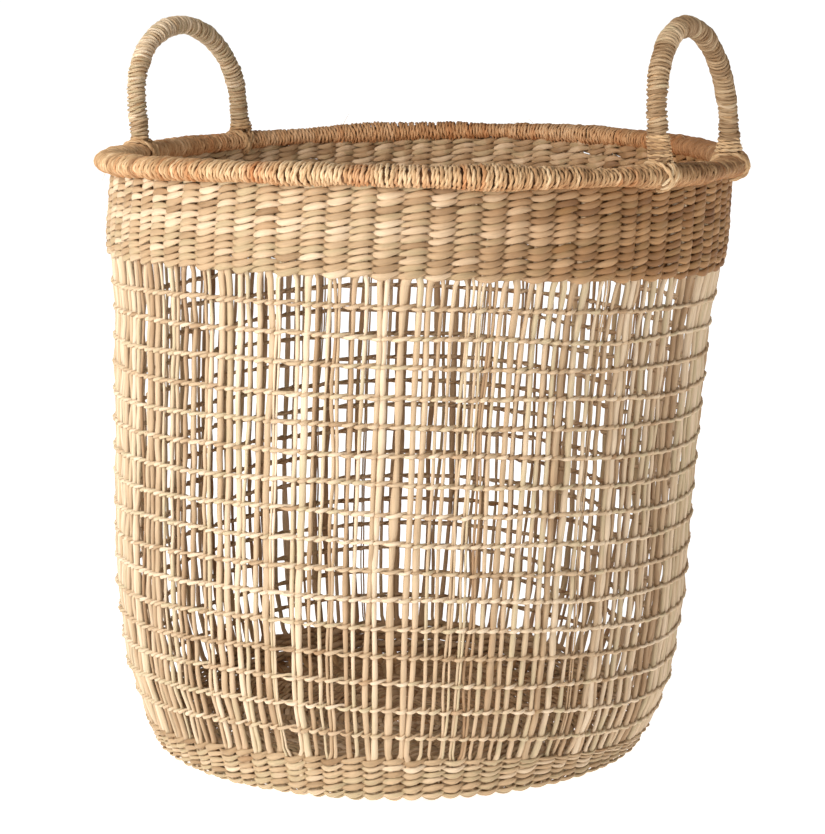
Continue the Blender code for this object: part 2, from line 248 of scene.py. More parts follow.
class Weave:
    """Strands that become one piece. Each strand is a tube with an elliptical section."""

    def __init__(self, sides=6):
        self.sides = sides
        self.total = 0
        self.points, self.quads, self.caps = [], [], []
        self.tone, self.warm, self.fibre = [], [], []

    def add(self, paths, normals, widths, depths, tones, warms, closed=False):
        """paths and normals are (strands, steps, 3); the rest are (strands, steps)."""
        strands, steps, _ = paths.shape
        widths, depths = widths.copy(), depths.copy()
        tangent = np.roll(paths, -1, 1) - np.roll(paths, 1, 1)
        if not closed:
            tangent[:, 0] = paths[:, 1] - paths[:, 0]
            tangent[:, -1] = paths[:, -1] - paths[:, -2]
            widths[:, [0, -1]] *= 0.4
            depths[:, [0, -1]] *= 0.4
        tangent /= np.linalg.norm(tangent, axis=-1, keepdims=True)
        across = np.cross(tangent, normals)
        across /= np.linalg.norm(across, axis=-1, keepdims=True)
        out = np.cross(across, tangent)
        turn = np.arange(self.sides) * TAU / self.sides
        u = widths[..., None] * np.cos(turn)
        v = depths[..., None] * np.sin(turn)
        ring = across[:, :, None] * u[..., None] + out[:, :, None] * v[..., None]
        self.points.append(settle(paths[:, :, None] + ring).reshape(-1, 3))
        index = np.arange(strands * steps * self.sides).reshape(strands, steps, self.sides)
        index += self.total
        self.total += index.size
        ahead = np.roll(index, -1, 1)
        if not closed:
            self.caps.append(index[:, 0, ::-1])
            self.caps.append(index[:, -1])
            index, ahead = index[:, :-1], ahead[:, :-1]
        corners = (index, np.roll(index, -1, 2), np.roll(ahead, -1, 2), ahead)
        self.quads.append(np.stack(corners, -1).reshape(-1, 4))
        length = np.linalg.norm(np.diff(paths, axis=1, prepend=paths[:, :1]), axis=-1)
        along = np.cumsum(length, 1) + rng.uniform(0, 50, size=(strands, 1))
        along = np.broadcast_to(along[..., None], u.shape)
        self.fibre.append(np.stack((along, u, v), -1).reshape(-1, 3))
        self.tone.append(np.repeat(tones.reshape(-1), self.sides))
        self.warm.append(np.repeat(warms.reshape(-1), self.sides))

    def build(self, name, material, slot, *nodes):
        """Makes the mesh object, which rides on the basket and stands for these CAD nodes."""
        points = np.concatenate(self.points)
        quads = np.concatenate(self.quads)
        caps = np.concatenate(self.caps) if self.caps else np.zeros((0, self.sides), int)
        mesh = bpy.data.meshes.new(name)
        mesh.vertices.add(len(points))
        mesh.vertices.foreach_set("co", points.astype(np.float32).ravel())
        corners = np.concatenate((quads.ravel(), caps.ravel())).astype(np.int32)
        mesh.loops.add(len(corners))
        mesh.loops.foreach_set("vertex_index", corners)
        starts = np.arange(len(quads)) * 4
        cap_starts = quads.size + np.arange(len(caps)) * self.sides
        starts = np.concatenate((starts, cap_starts)).astype(np.int32)
        mesh.polygons.add(len(starts))
        mesh.polygons.foreach_set("loop_start", starts)
        mesh.update(calc_edges=True)
        mesh.polygons.foreach_set("use_smooth", np.ones(len(starts), bool))
        for label, kind, field, parts in (
            ("tone", "FLOAT", "value", self.tone),
            ("warm", "FLOAT", "value", self.warm),
            ("fibre", "FLOAT_VECTOR", "vector", self.fibre),
        ):
            attribute = mesh.attributes.new(label, kind, "POINT")
            values = np.concatenate(parts).astype(np.float32).ravel()
            attribute.data.foreach_set(field, values)
        mesh.materials.append(material)
        obj = bpy.data.objects.new(name, mesh)
        bpy.context.scene.collection.objects.link(obj)
        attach(obj, "root")
        if nodes:
            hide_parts(*nodes)
        return obj


# Materials


def straw(name, stops, brown_and_shade_colour, blend, streak=0.30, roughness=0.62):
    """Dried seagrass: a tone for each strand, darker streaks along it, and stains and painted shade
    mixed in by a per-point amount.
    """
    material = bpy.data.materials.new(name)
    material.use_nodes = True
    nodes, links = material.node_tree.nodes, material.node_tree.links
    shader = nodes["Principled BSDF"]

    def attribute(label):
        node = nodes.new("ShaderNodeAttribute")
        node.attribute_name = label
        return node

    def noise(scales, detail):
        stretch = nodes.new("ShaderNodeVectorMath")
        stretch.operation = "MULTIPLY"
        stretch.inputs[1].default_value = scales
        links.new(fibre.outputs["Vector"], stretch.inputs[0])
        node = nodes.new("ShaderNodeTexNoise")
        node.inputs["Scale"].default_value = 1.0
        node.inputs["Detail"].default_value = detail
        links.new(stretch.outputs[0], node.inputs["Vector"])
        return node.outputs["Fac"]

    def math_node(operation, first, second):
        node = nodes.new("ShaderNodeMath")
        node.operation = operation
        for socket, value in zip(node.inputs, (first, second)):
            if isinstance(value, (int, float)):
                socket.default_value = value
            else:
                links.new(value, socket)
        return node.outputs[0]

    def mix(kind, factor, first, second):
        node = nodes.new("ShaderNodeMix")
        node.data_type = "RGBA"
        node.blend_type = kind
        for socket, value in zip((node.inputs[0], node.inputs[6], node.inputs[7]),
                                 (factor, first, second)):
            if isinstance(value, (int, float, tuple)):
                socket.default_value = value
            else:
                links.new(value, socket)
        return node.outputs[2]

    fibre = attribute("fibre")
    blotch = noise((45.0, 160.0, 160.0), 2.0)
    streaks = noise((60.0, 1500.0, 1500.0), 3.0)
    fine = noise((150.0, 4200.0, 4200.0), 2.0)
    spread = math_node("MULTIPLY", math_node("SUBTRACT", blotch, 0.5), 0.7)
    tone = math_node("ADD", attribute("tone").outputs["Fac"], spread)
    ramp = nodes.new("ShaderNodeValToRGB")
    elements = ramp.color_ramp.elements
    elements[0].position, elements[0].color = stops[0][0], (*stops[0][1], 1)
    elements[1].position, elements[1].color = stops[-1][0], (*stops[-1][1], 1)
    for position, colour in stops[1:-1]:
        elements.new(position).color = (*colour, 1)
    links.new(tone, ramp.inputs["Fac"])
    brown_and_shade_mix = math_node("ADD", attribute("warm").outputs["Fac"], math_node("MULTIPLY", spread, 0.5))
    clamp = nodes.new("ShaderNodeClamp")
    links.new(brown_and_shade_mix, clamp.inputs["Value"])
    colour = mix(blend, clamp.outputs[0], ramp.outputs["Color"], (*brown_and_shade_colour, 1))
    shade = math_node("MULTIPLY", math_node("SUBTRACT", streaks, 0.5), 2.0)
    shade = math_node("ADD", math_node("MULTIPLY", shade, streak), 1.0)
    gloom = nodes.new("ShaderNodeCombineColor")
    for socket in gloom.inputs[:3]:
        links.new(shade, socket)
    colour = mix("MULTIPLY", 1.0, colour, gloom.outputs[0])
    links.new(colour, shader.inputs["Base Color"])
    shader.inputs["Roughness"].default_value = roughness
    shader.inputs["Specular IOR Level"].default_value = 0.35
    bump = nodes.new("ShaderNodeBump")
    bump.inputs["Strength"].default_value = 0.45
    bump.inputs["Distance"].default_value = 0.0004
    links.new(math_node("ADD", streaks, fine), bump.inputs["Height"])
    links.new(bump.outputs["Normal"], shader.inputs["Normal"])
    return material


PALE = [
    (0.00, (0.40, 0.255, 0.140)),
    (0.25, (0.53, 0.375, 0.225)),
    (0.50, (0.63, 0.460, 0.295)),
    (0.65, (0.57, 0.460, 0.285)),
    (0.82, (0.69, 0.530, 0.355)),
    (1.00, (0.76, 0.605, 0.430)),
]
TWINE = [
    (0.00, (0.30, 0.180, 0.088)),
    (0.25, (0.43, 0.290, 0.160)),
    (0.50, (0.54, 0.380, 0.225)),
    (0.66, (0.48, 0.370, 0.215)),
    (0.82, (0.61, 0.450, 0.285)),
    (1.00, (0.72, 0.570, 0.395)),
]
CORDAGE = [
    (0.00, (0.26, 0.135, 0.058)),
    (0.30, (0.43, 0.255, 0.120)),
    (0.60, (0.60, 0.395, 0.205)),
    (1.00, (0.78, 0.580, 0.350)),
]
# Mixed into the cord for its stains and for the painted shade on the rim's underside.
RUST_STAIN_AND_SHADE = (0.50, 0.19, 0.06)
# Multiplied into the straw for its stains and for painted shade.
BROWN_STAIN_AND_SHADE = (0.56, 0.385, 0.235)  # times the straw's own colour

stake_straw = straw("stake_straw", PALE, BROWN_STAIN_AND_SHADE, "MULTIPLY", 0.24)
twine_straw = straw("twine_straw", TWINE, BROWN_STAIN_AND_SHADE, "MULTIPLY", 0.28)
cord_straw = straw("cord_straw", CORDAGE, RUST_STAIN_AND_SHADE, "MIX", 0.34, 0.7)
handle_straw = straw("handle_straw", TWINE, BROWN_STAIN_AND_SHADE, "MULTIPLY", 0.50)
cane = straw("cane", CORDAGE, BROWN_STAIN_AND_SHADE, "MULTIPLY", 0.2, 0.5)


# Layout


def soft_wall():
    """The wall's outline with its corners rounded: heights and radii, close together."""
    heights = np.linspace(WALL[0][0], WALL[-1][0], 400)
    known = np.array(WALL)
    radii = np.interp(heights, known[:, 0], known[:, 1])
    reach = int(WALL_SOFTEN / (heights[1] - heights[0]))
    padded = np.pad(radii, reach, mode="reflect", reflect_type="odd")
    kernel = np.hanning(2 * reach + 1)
    return heights, np.convolve(padded, kernel / kernel.sum(), "valid")


WALL_HEIGHTS, WALL_RADII = soft_wall()


def stake_line(height):
    """Radius of the line of the stakes at a height."""
    return np.interp(height, WALL_HEIGHTS, WALL_RADII) - WALL_INSET


def wall_slope(height):
    """Unit meridian direction of the wall, as (outward, up)."""
    rise = 0.004
    out = stake_line(height + rise / 2) - stake_line(height - rise / 2)
    size = np.hypot(out, rise)
    return out / size, rise / size


pitch = TAU / STAKES
stake_start = (np.arange(STAKES) + 0.5 + rng.normal(size=STAKES) * STAKE_JITTER) * pitch
drift_size = rng.normal(size=(STAKES, 3)) * STAKE_DRIFT * pitch
drift_phase = rng.uniform(0, TAU, size=(STAKES, 3))
DRIFT_WAVES = np.array([9.0, 21.0, 44.0])  # per metre of height, in radians


def in_band(heights):
    """1 inside the two dense bands, 0 in the openwork between them."""
    low, high, foot_low, foot_high = BAND_EDGES
    return smooth(heights, low, high) + 1 - smooth(heights, foot_low, foot_high)


def stake_angles(heights):
    """Angle of each stake at each height: (stakes, heights)."""
    heights = np.atleast_1d(heights)
    waves = np.cos(DRIFT_WAVES[:, None] * heights + drift_phase[..., None])
    angles = stake_start[:, None] + (drift_size[..., None] * waves).sum(1)
    middle = np.repeat((angles[0::2] + angles[1::2]) / 2, 2, axis=0)
    return middle + (angles - middle) * (1 - 0.55 * in_band(heights))


def polar(radius, angle, height):
    """Points from their distance to the axis, angle and height."""
    radius, angle, height = np.broadcast_arrays(radius, angle, height)
    return np.stack((radius * np.cos(angle), radius * np.sin(angle), height), -1)


def warmth(angle, right, back):
    """Painted shade: the basket's right side, away from the key light, and its far side, seen from
    its shaded inside, are browner, by these amounts.
    """
    turn = angle - VIEW_TURN
    side_shade = right * smooth(np.cos(turn + 0.35), 0.1, 1.0)
    return side_shade + back * smooth(np.sin(turn), -0.25, 0.75)


def stitch_tones(strands, samples, per_post, posts):
    """Tone and brown stitches along twining: long blades, and small changes from stitch to stitch.
    """
    index = np.arange(samples) / per_post
    tones, warms = [], []
    for strand in range(strands):
        stitch = np.floor((index + 1 + strand) / 2).astype(int) % (posts // 2)
        count = posts // 2
        blade = np.cumsum(rng.uniform(size=count) < BLADE_CHANGE)
        value = rng.uniform(*BLADE_TONES, size=blade[-1] + 1)[blade]
        value = value + rng.normal(size=count) * STITCH_SPREAD
        share, least, most = BROWN_STITCHES
        brown = np.where(rng.uniform(size=count) < share, rng.uniform(least, most, count), 0)
        tones.append(np.clip(value, 0, 1)[stitch])
        warms.append(brown[stitch])
    return np.array(tones), np.array(warms)


def twine(weave, posts, radius, height, slope, strand, tint_and_shade, per_post=6, loose=1.0):
    """A closed row of two strands that cross between every two posts.

    strand and the browning with its painted shade are laid out like the tuples at the top of the
    script.
    """
    width, depth, bulge, climb, stagger = strand
    brown, right, back, neck = tint_and_shade
    count = len(posts)
    index = np.arange(count * per_post) / per_post
    ends = np.append(posts, posts[0] + TAU)
    angle = np.interp(index, np.arange(count + 1), ends)
    phase = math.pi * index + np.array([0.0, math.pi])[:, None]
    swell = 1 + 0.09 * loose * wander(angle, 40, (2,))
    over = np.cos(phase)
    out = bulge * np.sign(over) * np.abs(over) ** FLAT_TOP * swell
    up = climb * np.sin(phase) + stagger * np.cos(math.pi * index)
    up = up + ROW_WAVES[0] * loose * wander(angle, 9)
    up = up + ROW_WAVES[1] * loose * wander(angle, 60, (2,))
    slope_out, slope_up = slope
    r = radius + slope_up * out + slope_out * up
    z = height - slope_out * out + slope_up * up
    paths = polar(r, angle, z)
    normals = polar(slope_up, angle, -slope_out) + np.zeros_like(paths)
    spread = (neck + (1 - neck) * np.abs(np.cos(phase))) * (1 + 0.09 * wander(angle, 60, (2,)))
    tones, warms = stitch_tones(2, len(index), per_post, count)
    # Painted shade: browner on the right and on the far side, on top of the stitches' and the row's
    # own brown.
    warms = warms + warmth(angle, right, back) + brown
    flat = np.clip(spread, 0.4, 1.4)
    weave.add(paths, normals, width * flat, depth * flat, tones, warms, closed=True)


# Base and foot


def foot_meridian():
    """Arc length, radius and height along the middle of the foot and base, from the centre."""
    wall_part = list(zip(stake_line(np.array(KNEE)), KNEE))
    line = np.array([(BASE_START, BASE_LEVEL)] + FOOT_BEND + wall_part)
    length = np.append(0, np.cumsum(np.hypot(*np.diff(line, axis=0).T)))
    return length, line


def foot_point(at):
    """Radius, height and direction of that line at a length along it."""
    length, line = FOOT_LINE
    step = 0.003
    r, z = (np.interp(at, length, line[:, i]) for i in (0, 1))
    ahead = [np.interp(at + step, length, line[:, i]) for i in (0, 1)]
    behind = [np.interp(at - step, length, line[:, i]) for i in (0, 1)]
    out, up = ahead[0] - behind[0], ahead[1] - behind[1]
    size = math.hypot(out, up)
    return r, z, (out / size, up / size)


FOOT_LINE = foot_meridian()


def pair_posts(height):
    """Middle of each pair of stakes, the posts of the dense bands."""
    angles = stake_angles(height)[:, 0]
    return (angles[0::2] + angles[1::2]) / 2


def base_posts(radius):
    """Evenly spread posts, fewer near the centre, all lying on spokes."""
    count = next(posts for least, posts in BASE_POSTS if radius > least)
    return (np.arange(count) + 0.5) * TAU / count + rng.normal(size=count) * 0.06 / count


def make_base():
    """The base's twining and spokes, and the lower dense band."""
    base_end = BASE_END - BASE_START
    rows = int(base_end / BASE_PITCH)
    weave = Weave(6)
    for row in range(rows + 1):
        at = base_end * row / rows
        radius, height, slope = foot_point(at)
        twine(weave, base_posts(radius), radius, height, slope, FOOT_STRAND, BASE_TINT_AND_SHADE)
    weave.build("base_twine", twine_straw, "seagrass_weave", "base_weave")
    foot = Weave(8)
    length = FOOT_LINE[0][-1] - base_end - BASE_PITCH - FOOT_GAP
    for row in range(FOOT_ROWS + 1):
        at = base_end + BASE_PITCH + length * row / FOOT_ROWS
        radius, height, slope = foot_point(at)
        posts = pair_posts(max(height, STAKE_LOW))
        style = (FOOT_STRAND, FOOT_TINT_AND_SHADE, FOOT_STEPS, DENSE_LOOSE)
        twine(foot, posts, radius, height, slope, *style)
    foot.build("lower_band_twine", twine_straw, "seagrass_weave", "lower_band_weave")
    spokes = Weave(8)
    steps = 24
    for start, offset in SPOKE_STARTS:
        angle = ((np.arange(SPOKES) + offset) * TAU / SPOKES)[:, None] + np.zeros(steps)
        radius = np.linspace(start, SPOKE_END, steps)
        height = BASE_LEVEL + SPOKE_RISE[0] * smooth(radius, *SPOKE_RISE[1:])
        paths = polar(radius, angle, height)
        normals = np.zeros_like(paths) + (0, 0, 1)
        width = 0.0010 + 0.0011 * smooth(radius, 0.0, 0.06) + np.zeros(angle.shape)
        tone = rng.uniform(0.1, 0.7, size=(SPOKES, 1)) + np.zeros(steps)
        spokes.add(paths, normals, width, width * 0 + 0.0010, tone, tone * 0 + 0.2)
    spokes.build("base_spoke_canes", cane, "cane_core", "base_spokes")


# Stakes and courses


def stake_shape(stakes, heights, courses):
    """Half-widths of stakes over their height, pinched a little by every course."""
    thin, usual, wide = STAKE_WIDTHS
    width = np.exp(rng.normal(size=(stakes, 1)) * STAKE_SPREAD) * usual
    broad = rng.uniform(size=(stakes, 1)) < BROAD_STAKES[0]
    width = np.where(broad, width * BROAD_STAKES[1], width)
    width = np.clip(width, thin, wide)
    width = width * (1 + 0.10 * wander(heights * 30, 3, (stakes,)))
    pinch, reach = STAKE_PINCH
    pinch = pinch * np.exp(-(((heights[:, None] - courses) / reach) ** 2)).sum(1)
    return width * (1 - pinch) * (1 + BAND_WIDEN * in_band(heights))


def make_stakes(courses):
    """Stakes in bundles of neighbours; some are split into two thin stems that cross."""
    heights = np.linspace(STAKE_LOW, STAKE_HIGH, STAKE_STEPS)
    angles = stake_angles(heights)
    widths = stake_shape(STAKES, heights, courses)
    radius = stake_line(heights) + 0.00035 * wander(heights * 55, 4, (STAKES,))
    tones = rng.uniform(0.0, 1.0, size=(STAKES, 1)) ** 0.9
    tones = np.clip(tones + 0.10 * wander(heights * 20, 3, (STAKES,)), 0, 1)
    # Painted shade: the stakes are browner on the right and on the far side; a few stakes are brown
    # of their own after this.
    warms = warmth(angles, *STAKE_SIDE_SHADE)
    warms = warms + np.where(rng.uniform(size=(STAKES, 1)) < BROWN_STAKES[0], BROWN_STAKES[1], 0.0)
    split = rng.uniform(size=STAKES) < SPLIT_SHARE
    per_bundle = STAKES // BUNDLES
    for bundle in range(BUNDLES):
        weave = Weave(8)
        for stake in range(bundle * per_bundle, (bundle + 1) * per_bundle):
            turn, line, width = angles[stake], radius[stake], widths[stake]
            parts = [(0.0, 1.0, 0.0)]
            if split[stake]:
                parts = [(-0.62, 0.56, 0.0), (0.66, 0.50, 0.0004)]
            for side, share, out in parts:
                cross = 0.35 * wander(heights * 26, 3) if len(parts) > 1 else 0.0
                shift = (side + cross) * width / line
                paths = polar(line + out, turn + shift, heights)[None]
                normals = polar(1.0, turn + shift, 0.0 * heights)[None]
                depth = np.minimum(width * share * 0.95, STAKE_DEPTH)[None]
                tone = np.clip(tones[stake] + side * 0.12, 0, 1)[None]
                weave.add(paths, normals, width[None] * share, depth, tone, warms[stake][None])
        name = f"{bundle + 1:02d}"
        weave.build(f"stakes_{name}", stake_straw, "seagrass_stake", f"stake_bundle_{name}")


def course_heights():
    """Heights of the openwork courses, from the CAD."""
    heights = []
    for number in range(1, COURSES + 1):
        low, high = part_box(f"course_{number:02d}")
        heights.append((low.z + high.z) / 2)
    return np.array(heights)


def make_courses(courses):
    for number, height in enumerate(courses, 1):
        weave = Weave(6)
        posts = stake_angles(height)[:, 0]
        slope = wall_slope(height)
        twine(weave, posts, stake_line(height), height, slope, COURSE_STRAND, COURSE_TINT_AND_SHADE)
        name = f"{number:02d}"
        weave.build(f"course_twine_{name}", stake_straw, "seagrass_weave", f"course_{name}")


def make_upper_band():
    """The upper dense band, in two pieces."""
    halves = (range(0, BAND_ROWS // 2), range(BAND_ROWS // 2, BAND_ROWS))
    for label, rows, nodes in zip(("low", "high"), halves, (("upper_band_weave",), ())):
        weave = Weave(8)
        for row in rows:
            height = BAND_LOW + (BAND_HIGH - BAND_LOW) * row / (BAND_ROWS - 1)
            posts = pair_posts(height)
            slope = wall_slope(height)
            style = (BAND_STRAND, BAND_TINT_AND_SHADE, BAND_STEPS, DENSE_LOOSE)
            twine(weave, posts, stake_line(height), height, slope, *style)
        weave.build(f"upper_band_twine_{label}", twine_straw, "seagrass_weave", *nodes)


# Cords


def two_ply(weave, centre, normals, tones, warms, ply=PLY, offset=PLY_OFFSET, twist=CORD_TWIST):
    """A twisted two-ply cord along a line; normals point away from what it is wound on."""
    tangent = np.gradient(centre, axis=0)
    tangent /= np.linalg.norm(tangent, axis=-1, keepdims=True)
    side = np.cross(tangent, normals)
    side /= np.linalg.norm(side, axis=-1, keepdims=True)
    out = np.cross(side, tangent)
    length = np.linalg.norm(np.diff(centre, axis=0, prepend=centre[:1]), axis=-1)
    along = np.cumsum(length)
    phase = TAU * along / twist + 1.1 * wander(along * 9, 5)
    for ply_start, shift in ((0.0, 0.07), (math.pi, -0.07)):
        turn = (phase + ply_start)[:, None]
        path = centre + offset * (np.cos(turn) * out + np.sin(turn) * side)
        size = ply * (1 + 0.13 * wander(along * 40, 6))
        flat = np.clip(tones + shift, 0, 1)
        weave.add(path[None], out[None], size[None], size[None], flat[None], warms[None])


def steps_of(values, x):
    """Values given for whole turns, blended between them."""
    return np.interp(x, np.arange(len(values)), values)


def round_rim(around, angle, out):
    """Points this far outside the rim's flattened section, and the directions away from it."""
    half_height = RIM_TUBE * RIM_FLATTEN
    across, up = RIM_TUBE + out, half_height + out
    points = polar(RIM_RADIUS + across * np.cos(around), angle, RIM_HEIGHT + up * np.sin(around))
    side, rise = half_height * np.cos(around), RIM_TUBE * np.sin(around)
    size = np.hypot(side, rise)
    return points, polar(side / size, angle, rise / size)


def make_rim():
    """The cord wound round the rim, stained at the left front, with painted shade that makes it
    paler on the left than on the right and browner on its underside.
    """
    turn = np.arange(RIM_TURNS * RIM_STEPS + 1) / RIM_STEPS
    lead = TAU / RIM_TURNS
    shift = steps_of(rng.normal(size=RIM_TURNS + 1) * RIM_JITTER, turn)
    around = -TAU * turn
    slant = 1 + RIM_SLANT[1] * steps_of(rng.normal(size=RIM_TURNS + 1), turn)
    slant = RIM_SLANT[0] * np.sin(around) * slant
    angle = lead * (turn + shift) + slant
    lump = 0.0005 * wander(angle, 24) + steps_of(rng.normal(size=RIM_TURNS + 1), turn) * 0.00025
    centre, normals = round_rim(around, angle, np.clip(lump, *RIM_LUMPS) - CORD)
    seen = angle - VIEW_TURN
    tones = RIM_TONE[0] + RIM_TONE[1] * steps_of(rng.normal(size=RIM_TURNS + 1), turn)
    # Painted shade: the cord is darker towards the right side.
    tones = tones - warmth(angle, 0.40, 0.0)
    tones = np.clip(tones + 0.12 * wander(angle, 7), 0, 1)
    left_front = np.exp(-(((np.angle(np.exp(1j * (seen + 1.85)))) / 0.45) ** 2))
    patchy = np.clip(wander(angle, 70), 0, 1.2)
    stained = rng.uniform(size=RIM_TURNS + 1) < 0.05
    warms = 0.08 + 0.45 * left_front * patchy + 0.4 * steps_of(stained.astype(float), turn)
    # Browner on the rim's far side, and browner on its underside as painted shade.
    warms = warms + 0.34 * smooth(np.sin(seen), -0.25, 0.75)
    warms = warms + 0.22 * smooth(-np.sin(around), 0.0, 0.9)
    pieces = np.array_split(np.arange(len(turn)), RIM_PIECES)
    for number, piece in enumerate(pieces, 1):
        piece = np.append(piece, min(piece[-1] + 1, len(turn) - 1))
        weave = Weave(6)
        two_ply(weave, centre[piece], normals[piece], tones[piece], warms[piece])
        nodes = ("rim_wrap",) if number == 1 else ()
        weave.build(f"rim_cord_{number}", cord_straw, "seagrass_cord", *nodes)
    hoop = Weave(12)
    angle = np.linspace(0, TAU, 180, endpoint=False)
    path = polar(RIM_RADIUS, angle, RIM_HEIGHT)[None]
    width, depth = (np.full((1, len(angle)), half) for half in RIM_FILLING)
    up = np.zeros_like(path) + (0, 0, 1)
    # The filling's tone of 0 and its browning are painted shade, for the dark gaps between the
    # cord's turns.
    hoop.add(path, up, width, depth, width * 0, width * 0 + 0.5, closed=True)
    hoop.build("rim_hoop_cane", cane, "cane_core", "rim_hoop")


def spin(points, angle):
    """Points or directions turned about Z."""
    x, y = points[..., 0], points[..., 1]
    c, s = math.cos(angle), math.sin(angle)
    return np.stack((c * x - s * y, s * x + c * y, points[..., 2]), -1)


def handle_line(label, steps=400):
    """Centre line of a handle, evenly spaced from its front foot over the arch to its back."""
    low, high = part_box(f"handle_wrap_{label}")
    tube = (high.x - low.x) / 2
    reach, half = (high.x + low.x) / 2, ((high.y - low.y) / 2 - tube) * HANDLE_SPREAD
    rise = high.z + HANDLE_EXTRA[label] - tube - HANDLE_SPRING
    turn = np.linspace(0, math.pi, 200)
    y = np.concatenate(([-half], -half * np.cos(turn), [half]))
    z = np.concatenate(([low.z], HANDLE_SPRING + rise * np.sin(turn), [low.z]))
    length = np.append(0, np.cumsum(np.hypot(np.diff(y), np.diff(z))))
    even = np.linspace(0, length[-1], steps)
    y, z = np.interp(even, length, y), np.interp(even, length, z)
    line = spin(np.stack((np.full(steps, reach), y, z), -1), HANDLE_TURN[label])
    lean = HANDLE_LEAN[label] * np.clip((z - low.z) / (high.z - low.z), 0, 1) ** 1.3
    line[:, 0] -= lean * math.cos(VIEW_TURN)
    line[:, 1] -= lean * math.sin(VIEW_TURN)
    return line, even, tube


def make_handle(label):
    """A handle's core and the cord wound along it."""
    line, length, tube = handle_line(label)
    turns = int(length[-1] * HANDLE_TURNS_PER_METRE)
    turn = np.arange(turns * HANDLE_STEPS + 1) / HANDLE_STEPS
    shift = steps_of(rng.normal(size=turns + 1) * HANDLE_JITTER, turn)
    slant = 1 + HANDLE_SLANT[1] * steps_of(rng.normal(size=turns + 1), turn)
    slant = HANDLE_SLANT[0] * (np.sin(TAU * turn + 0.8) * slant)
    at = np.clip((turn + shift) / turns * length[-1] + slant, 0, length[-1])
    middle = np.stack([np.interp(at, length, line[:, i]) for i in range(3)], -1)
    tangent = np.gradient(line, axis=0)
    tangent /= np.linalg.norm(tangent, axis=-1, keepdims=True)
    tangent = np.stack([np.interp(at, length, tangent[:, i]) for i in range(3)], -1)
    flat = spin(np.zeros_like(middle) + (1, 0, 0), HANDLE_TURN[label])
    upward = np.cross(tangent, flat)
    around = (TAU * turn)[:, None]
    normals = np.cos(around) * flat + np.sin(around) * upward
    wind = tube + HANDLE_THICKEN - sum(HANDLE_PLY)
    wind = wind + 0.00014 * steps_of(rng.normal(size=turns + 1), turn) + 0.0003 * wander(at * 40, 6)
    centre = middle + wind[:, None] * normals
    # The right handle's lower starting tone is painted shade.
    tones = HANDLE_TONE_AND_SHADE[label] + 0.26 * steps_of(rng.normal(size=turns + 1), turn)
    tones = np.clip(tones + 0.10 * wander(at * 60, 4), 0, 1)
    foot = np.exp(-((at / 0.012) ** 2)) + np.exp(-(((at - length[-1]) / 0.012) ** 2))
    tones = np.clip(tones - 0.25 * foot, 0, 1)
    stained = (rng.uniform(size=turns + 1) < 0.05).astype(float)
    warms = 0.03 + 0.4 * steps_of(stained, turn) + 0.25 * foot
    weave = Weave(6)
    two_ply(weave, centre, normals, tones, warms, *HANDLE_PLY, HANDLE_TWIST)
    weave.build(f"handle_cord_{label}", handle_straw, "seagrass_cord", f"handle_wrap_{label}")
    core = Weave(8)
    below = (0, 0, CORE_REACH)
    extended = np.concatenate((line[:1] - below, line[::8], line[-1:] - below))
    size = np.full((1, len(extended)), tube + HANDLE_THICKEN - 1.15 * sum(HANDLE_PLY))
    normal = np.zeros_like(extended) + (1, 0, 0)
    core.add(extended[None], normal[None], size, size, size * 0 + 0.4, size * 0)
    core.build(f"handle_cane_{label}", cane, "cane_core", f"handle_core_{label}")


